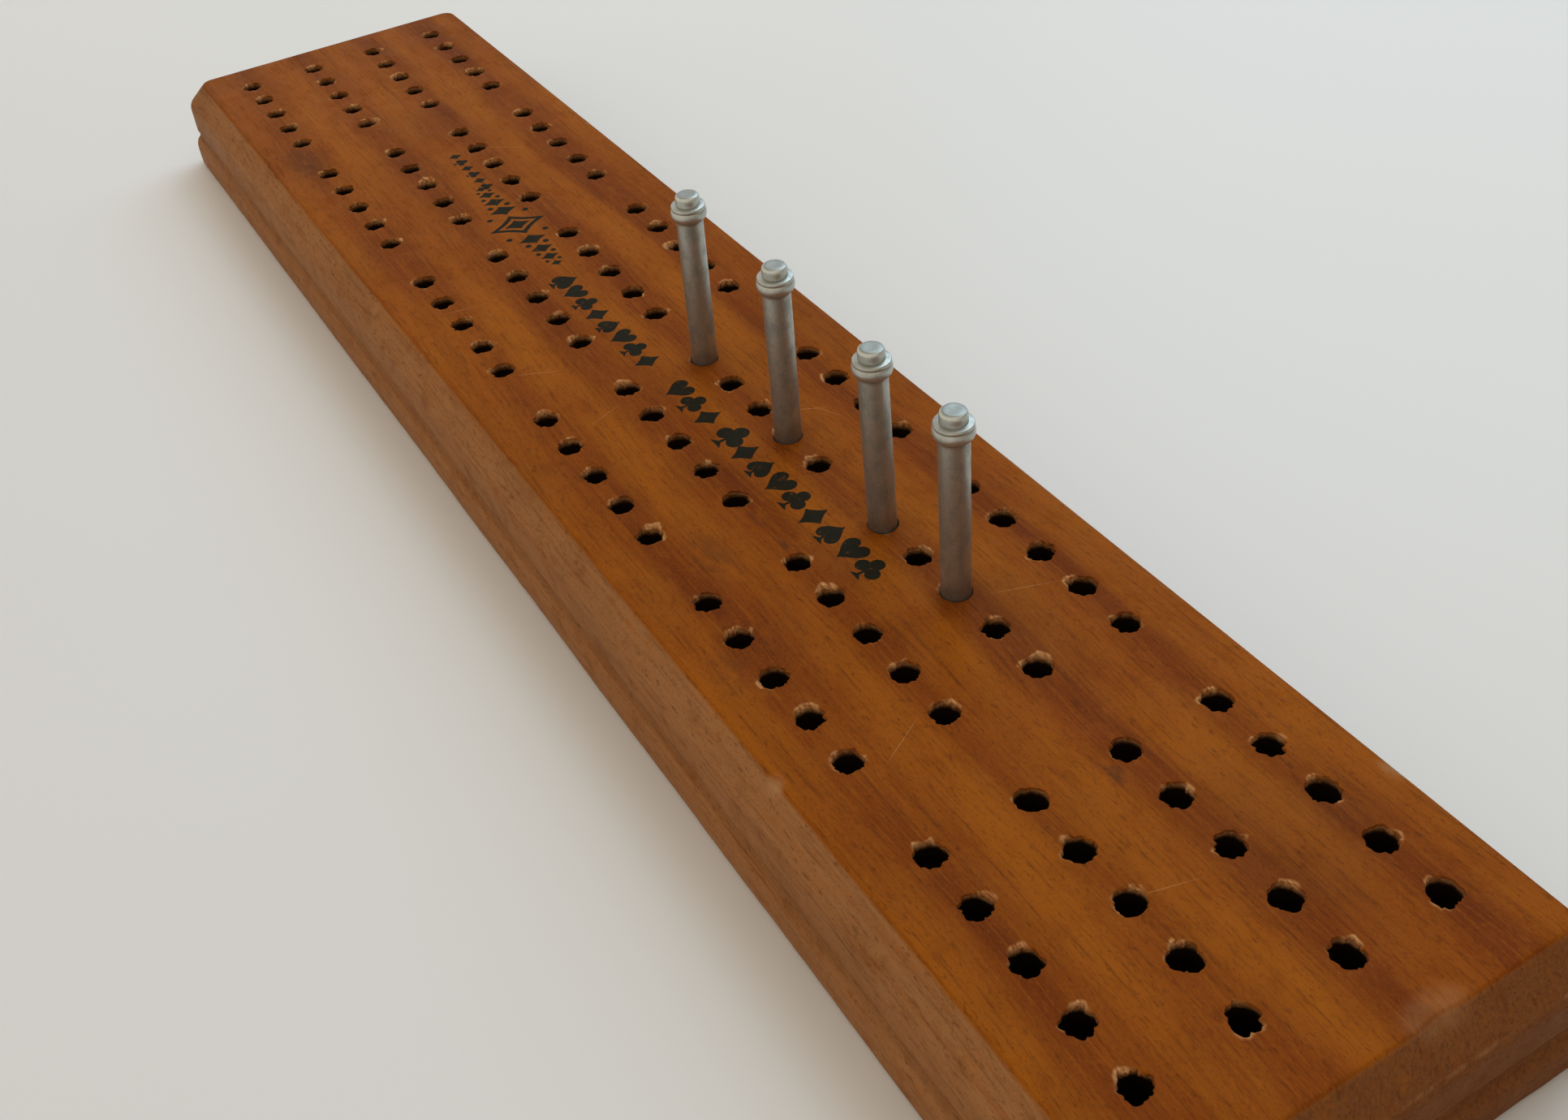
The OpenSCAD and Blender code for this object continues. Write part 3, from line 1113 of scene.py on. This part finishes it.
def cover_material():
    """Thin plated sheet with rubbing marks along its slide."""
    s = Shader("plated_sheet")
    place = s.place()
    rubs = s.noise(place, (0.05, 2.4, 1.0), detail=4, roughness=0.65)
    cloud = s.noise(place, (0.09, 0.13, 0.2), detail=4, roughness=0.6)
    rust = s.noise(place, (0.35, 0.35, 0.35), detail=5, roughness=0.7)
    colour = s.mix(s.range(cloud, 0.35, 0.68), METAL_BRIGHT, METAL)
    colour = s.tint(colour, rubs, 0.55, 0.75, 0.5, METAL_DULL)
    colour = s.tint(colour, rust, 0.62, 0.74, 0.6, RUST)
    rough = s.range(cloud, 0.3, 0.7, 0.30, 0.46)
    s.set(Base_Color=colour, Roughness=rough, Metallic=1.0, Normal=s.bump(rubs, 0.03, 0.5))
    return s.material


def table_material():
    """Plain pale table top. It doesn't hide the board from below, but the underside is unlit there."""
    s = Shader("table_top")
    cloud = s.noise(s.place(), (0.006, 0.006, 0.006), detail=2)
    colour = s.mix(cloud, TABLE_WARM, TABLE_COOL)
    s.set(Base_Color=colour, Roughness=s.range(cloud, 0.3, 0.7, 0.50, 0.56))
    below = s.node("ShaderNodeNewGeometry").outputs["Backfacing"]
    clear = s.node("ShaderNodeBsdfTransparent").outputs[0]
    choice = s.node("ShaderNodeMixShader")
    s.feed(choice.inputs[0], below)
    s.link(s.surface.outputs[0], choice.inputs[1])
    s.link(clear, choice.inputs[2])
    s.link(choice.outputs[0], s.output.inputs["Surface"])
    return s.material


# ---------------------------------------------------------------- stage

# The camera's place and the point it looks at, in metres
CAMERA_AT = Vector((0.1549, -0.0630, 0.1196))
CAMERA_AIM = Vector((0.0430, -0.0060, 0.0140))
CAMERA_ROLL = 5.84  # degrees
LENS = 38.03
SENSOR_W = 36
CLIP_START = 0.005  # metres

# Square lights aimed at the board: (name, place in metres, size in metres, power in watts, colour)
LIGHTS = (
    ("window", (-0.42, 0.80, 0.85), 1.05, 10.0, (0.62, 0.82, 1.0)),
    ("far_wall", (-1.05, 0.25, 0.42), 0.7, 0.9, (0.85, 0.92, 1.0)),
)

ROOM_BRIGHT = (0.79, 0.70, 0.585)
ROOM_DIM = (0.22, 0.19, 0.155)
# The room goes from dim to bright towards this side, between these limits of the dot product
ROOM_BRIGHT_SIDE = (-0.15, -0.55, 0.82)
ROOM_LIMITS = (-0.25, 0.65)

# Half the length of the table's sides
TABLE_HALF = 3000.0
# The table lies just under the board, so that the two don't share a plane
TABLE_Z = -0.02


def make_camera():
    data = bpy.data.cameras.new("camera")
    data.lens = LENS
    data.sensor_width = SENSOR_W
    data.clip_start = CLIP_START
    camera = bpy.data.objects.new("camera", data)
    look = (CAMERA_AIM - CAMERA_AT).normalized()
    turned = look.to_track_quat("-Z", "Y").to_matrix().to_4x4()
    roll = Matrix.Rotation(math.radians(-CAMERA_ROLL), 4, "Z")
    camera.matrix_world = Matrix.Translation(CAMERA_AT) @ turned @ roll
    bpy.context.scene.collection.objects.link(camera)
    bpy.context.scene.camera = camera


def area_light(name, at, size, power, colour):
    data = bpy.data.lights.new(name, "AREA")
    data.size = size
    data.energy = power
    data.color = colour
    light = bpy.data.objects.new(name, data)
    light.location = at
    light.rotation_euler = (-Vector(at)).to_track_quat("-Z", "Y").to_euler()
    bpy.context.scene.collection.objects.link(light)


def make_world():
    """A warm room, brightest overhead and on the -Y side."""
    world = bpy.data.worlds.new("room")
    world.use_nodes = True
    tree = world.node_tree
    direction = tree.nodes.new("ShaderNodeTexCoord").outputs["Generated"]
    along = tree.nodes.new("ShaderNodeVectorMath")
    along.operation = "DOT_PRODUCT"
    along.inputs[1].default_value = ROOM_BRIGHT_SIDE
    share = tree.nodes.new("ShaderNodeMapRange")
    share.interpolation_type = "SMOOTHSTEP"
    share.inputs["From Min"].default_value, share.inputs["From Max"].default_value = ROOM_LIMITS
    tones = tree.nodes.new("ShaderNodeMix")
    tones.data_type = "RGBA"
    low, high = [socket for socket in tones.inputs if socket.type == "RGBA"]
    low.default_value = (*ROOM_DIM, 1.0)
    high.default_value = (*ROOM_BRIGHT, 1.0)
    tree.links.new(direction, along.inputs[0])
    tree.links.new(along.outputs["Value"], share.inputs["Value"])
    tree.links.new(share.outputs[0], tones.inputs[0])
    tone = [socket for socket in tones.outputs if socket.type == "RGBA"][0]
    tree.links.new(tone, tree.nodes["Background"].inputs["Color"])
    bpy.context.scene.world = world


def make_table(material):
    table = Shell()
    corners = [(-1, -1), (1, -1), (1, 1), (-1, 1)]
    table.faces.append(table.add([(x * TABLE_HALF, y * TABLE_HALF, TABLE_Z) for x, y in corners]))
    return table.build("table_top", material)


make_camera()
bpy.context.scene.view_settings.view_transform = "Standard"
make_world()
for light in LIGHTS:
    area_light(*light)
make_table(table_material())

board = make_board(wood_material(), ornament())
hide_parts("board")
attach(board, "board")

metal = peg_material()
for index, (place, lean) in enumerate(zip(PEG_PLACES, PEG_LEANS), start=1):
    peg = make_peg(index, place, lean, metal)
    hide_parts(f"peg_{index}")
    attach(peg, f"peg_{index}")

cover = make_cover(cover_material())
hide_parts("store_cover")
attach(cover, "cover")
